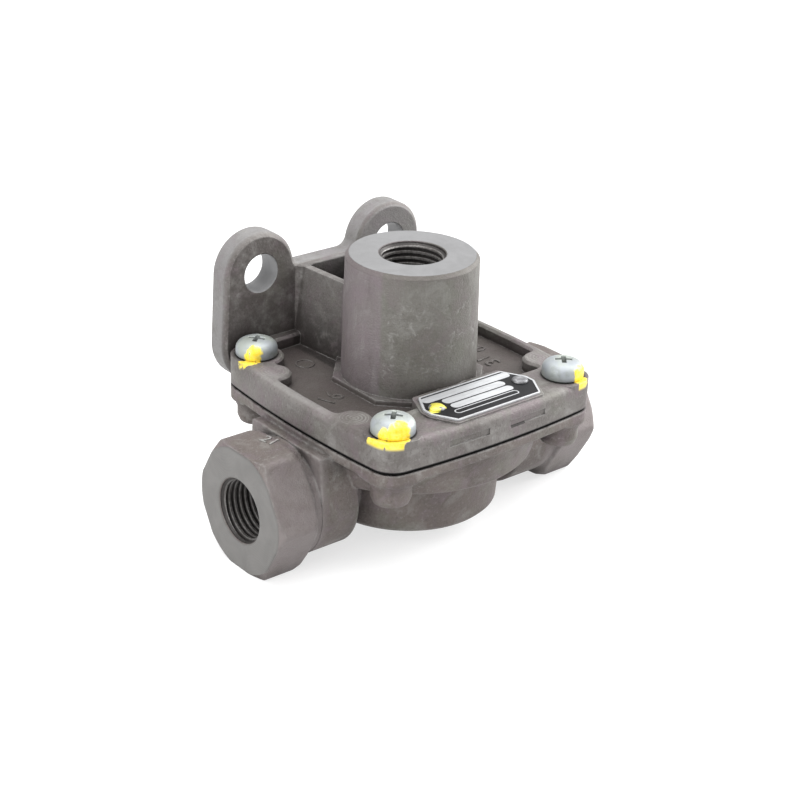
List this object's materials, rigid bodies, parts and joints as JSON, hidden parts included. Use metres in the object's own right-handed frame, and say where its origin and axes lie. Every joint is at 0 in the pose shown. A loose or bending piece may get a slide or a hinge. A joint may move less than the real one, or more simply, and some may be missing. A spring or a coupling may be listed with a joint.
{
  "type": "air exhaust valve",
  "caption": "Quick exhaust valve for compressed air: a square ribbed cover with a threaded supply boss and a two-lug bracket, over a round body with two threaded side ports.",
  "frame": {"origin": "rear face of the bracket, midway between its two bolt holes", "axes": "+Z out of the supply port, +Y from the valve to the surface it is bolted to, +X from one side port to the other, right-handed"},
  "size_m": [0.0994, 0.0733, 0.0679],
  "materials": {
    "housing_casting": "matt grey die casting, mottled",
    "body_casting": "matt grey die casting, machined port faces",
    "gasket": "matt black",
    "rubber": "matt black",
    "guide": "natural moulded plastic",
    "spring": "drawn spring wire",
    "screw": "zinc plated",
    "plate": "black printed sheet with bare lines and bars",
    "rivet": "dull, darkened"
  },
  "bodies": {
    "housing": {"upper_housing": "housing_casting", "lower_body": "body_casting", "housing_gasket": "gasket", "return_spring": "spring", "exhaust_flap": "rubber", "nameplate": "plate", "cover_screw_rear_left": "screw", "cover_screw_rear_right": "screw", "cover_screw_front_left": "screw", "cover_screw_front_right": "screw", "plate_rivet_left": "rivet", "plate_rivet_right": "rivet"},
    "diaphragm": {"valve_diaphragm": "rubber", "diaphragm_guide": "guide"}
  },
  "joints": [
    {"name": "diaphragm_slide", "type": "slide", "parent": "housing", "child": "diaphragm", "axis": [0, 0, -1], "range_m": [0, 0.0018], "stiffness_N_per_m": 200, "springref_m": -0.004, "deforming": ["return_spring"]}
  ]
}
